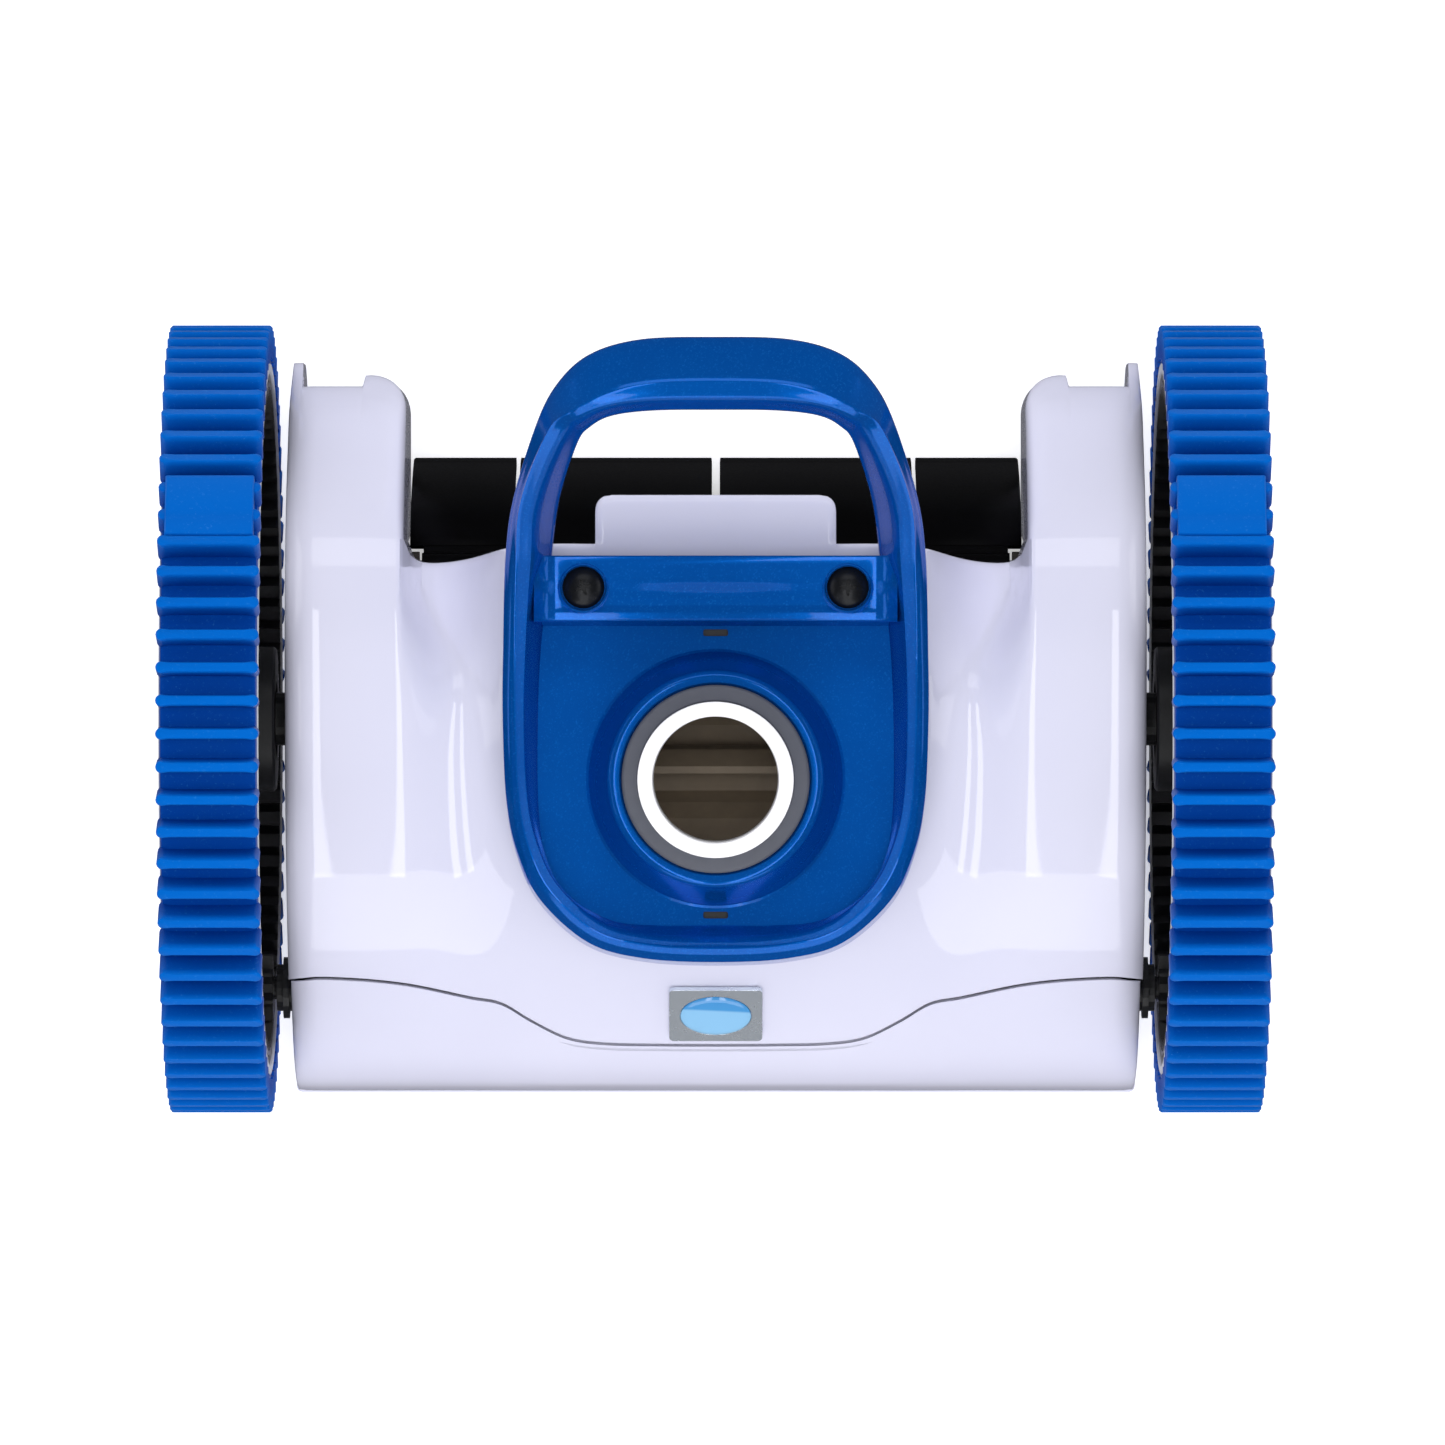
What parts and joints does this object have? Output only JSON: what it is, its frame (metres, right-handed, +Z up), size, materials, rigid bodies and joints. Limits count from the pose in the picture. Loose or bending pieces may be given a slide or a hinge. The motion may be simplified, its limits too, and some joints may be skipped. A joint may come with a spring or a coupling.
{
  "type": "suction pool cleaner",
  "caption": "Two-wheel suction pool cleaner: ribbed wheels, white hood, blue top frame with handle, swivelling hose cuff, turbine drive and hinged flaps.",
  "frame": {"origin": "on the floor, straight below the middle of the wheel axle", "axes": "+X to the cleaner's right seen from above with the front towards the viewer, along the axle; +Y to the rear; +Z up"},
  "size_m": [0.369, 0.267, 0.267],
  "materials": {
    "white_shell": "glossy moulded white, faint lavender tint",
    "dark_pan": "dark brown-black moulded",
    "frame_blue": "glossy pearl blue",
    "black_screw": "black coated steel",
    "badge_silver": "bright silver",
    "badge_blue": "domed clear blue",
    "black_nylon": "moulded nylon",
    "steel": "satin stainless",
    "tyre_blue": "satin moulded rubber",
    "rim_grey": "light grey moulded",
    "collar_grey": "mid grey moulded",
    "white_gear": "natural acetal",
    "vane_brown": "brown-grey moulded",
    "white_cuff": "satin white moulded",
    "flap_black": "satin black"
  },
  "bodies": {
    "chassis": {"upper_body": "white_shell", "front_skirt": "white_shell", "lower_body": "dark_pan", "turbine_housing": "dark_pan", "swivel_frame": "frame_blue", "frame_screw_left": "black_screw", "frame_screw_right": "black_screw", "badge_bezel": "badge_silver", "badge_emblem": "badge_blue", "left_side_plate": "black_nylon", "right_side_plate": "black_nylon", "left_shaft_bearing": "black_nylon", "right_shaft_bearing": "black_nylon", "left_axle": "black_nylon", "right_axle": "black_nylon", "turbine_bearing_left": "steel", "turbine_bearing_right": "steel", "rear_hinge_pin_left": "steel", "rear_hinge_pin_right": "steel", "front_hinge_pin_left": "steel", "front_hinge_pin_right": "steel", "skid_left": "black_nylon", "skid_right": "black_nylon", "skid_screw_left_front": "steel", "skid_screw_left_rear": "steel", "skid_screw_right_front": "steel", "skid_screw_right_rear": "steel"},
    "left_wheel": {"left_tyre": "tyre_blue", "left_rim": "rim_grey", "left_hub": "black_nylon", "left_ring_gear": "black_nylon", "left_bushing": "collar_grey", "left_hub_cap": "collar_grey"},
    "left_drive": {"left_drive_shaft": "black_nylon", "left_drive_gear": "collar_grey"},
    "left_idler": {"left_idler_gear": "white_gear"},
    "right_wheel": {"right_tyre": "tyre_blue", "right_rim": "rim_grey", "right_hub": "black_nylon", "right_ring_gear": "black_nylon", "right_bushing": "collar_grey", "right_hub_cap": "collar_grey"},
    "right_drive": {"right_drive_shaft": "black_nylon", "right_drive_gear": "collar_grey"},
    "right_idler": {"right_idler_gear": "white_gear"},
    "turbine": {"turbine_rotor": "vane_brown", "turbine_shaft": "steel", "turbine_gear_left": "collar_grey", "turbine_gear_right": "collar_grey"},
    "hose_swivel": {"hose_cuff": "white_cuff", "swivel_collar": "collar_grey"},
    "rear_flap_inner_left": {"rear_flap_inner_left": "flap_black"},
    "rear_flap_inner_right": {"rear_flap_inner_right": "flap_black"},
    "rear_flap_outer_left": {"rear_flap_outer_left": "flap_black"},
    "rear_flap_outer_right": {"rear_flap_outer_right": "flap_black"},
    "front_flap_left": {"front_flap_left": "flap_black"},
    "front_flap_right": {"front_flap_right": "flap_black"}
  },
  "joints": [
    {"name": "left_wheel_spin", "type": "hinge", "parent": "chassis", "child": "left_wheel", "pos_m": [-0.1675, 0, 0.1335], "axis": [1, 0, 0], "continuous": true},
    {"name": "left_drive_spin", "type": "hinge", "parent": "chassis", "child": "left_drive", "pos_m": [-0.1258, -0.092, 0.09431], "axis": [1, 0, 0], "continuous": true},
    {"name": "left_idler_spin", "type": "hinge", "parent": "chassis", "child": "left_idler", "pos_m": [-0.1258, -0.056, 0.09431], "axis": [1, 0, 0], "continuous": true},
    {"name": "right_wheel_spin", "type": "hinge", "parent": "chassis", "child": "right_wheel", "pos_m": [0.1675, 0, 0.1335], "axis": [1, 0, 0], "continuous": true},
    {"name": "right_drive_spin", "type": "hinge", "parent": "chassis", "child": "right_drive", "pos_m": [0.1258, -0.092, 0.09431], "axis": [1, 0, 0], "continuous": true},
    {"name": "right_idler_spin", "type": "hinge", "parent": "chassis", "child": "right_idler", "pos_m": [0.1258, -0.056, 0.09431], "axis": [1, 0, 0], "continuous": true},
    {"name": "turbine_spin", "type": "hinge", "parent": "chassis", "child": "turbine", "pos_m": [0, -0.02, 0.09431], "axis": [1, 0, 0], "continuous": true},
    {"name": "hose_swivel_turn", "type": "hinge", "parent": "chassis", "child": "hose_swivel", "pos_m": [0, -0.0201, 0.192], "axis": [0, 0, 1], "continuous": true},
    {"name": "rear_flap_inner_left_swing", "type": "hinge", "parent": "chassis", "child": "rear_flap_inner_left", "pos_m": [0, 0.053, 0.072], "axis": [1, 0, 0], "range_deg": [0, 40]},
    {"name": "rear_flap_inner_right_swing", "type": "hinge", "parent": "chassis", "child": "rear_flap_inner_right", "pos_m": [0, 0.053, 0.072], "axis": [1, 0, 0], "range_deg": [0, 40]},
    {"name": "rear_flap_outer_left_swing", "type": "hinge", "parent": "chassis", "child": "rear_flap_outer_left", "pos_m": [0, 0.053, 0.072], "axis": [1, 0, 0], "range_deg": [0, 40]},
    {"name": "rear_flap_outer_right_swing", "type": "hinge", "parent": "chassis", "child": "rear_flap_outer_right", "pos_m": [0, 0.053, 0.072], "axis": [1, 0, 0], "range_deg": [0, 40]},
    {"name": "front_flap_left_swing", "type": "hinge", "parent": "chassis", "child": "front_flap_left", "pos_m": [0, -0.116, 0.032], "axis": [1, 0, 0], "range_deg": [0, 25]},
    {"name": "front_flap_right_swing", "type": "hinge", "parent": "chassis", "child": "front_flap_right", "pos_m": [0, -0.116, 0.032], "axis": [1, 0, 0], "range_deg": [0, 25]}
  ],
  "couplings": [
    {"joint": "right_wheel_spin", "follows": "left_wheel_spin", "ratio": 1},
    {"joint": "left_drive_spin", "follows": "left_wheel_spin", "ratio": 11},
    {"joint": "left_idler_spin", "follows": "left_wheel_spin", "ratio": -5.5},
    {"joint": "right_drive_spin", "follows": "left_wheel_spin", "ratio": 11},
    {"joint": "right_idler_spin", "follows": "left_wheel_spin", "ratio": -5.5},
    {"joint": "turbine_spin", "follows": "left_wheel_spin", "ratio": 11}
  ]
}
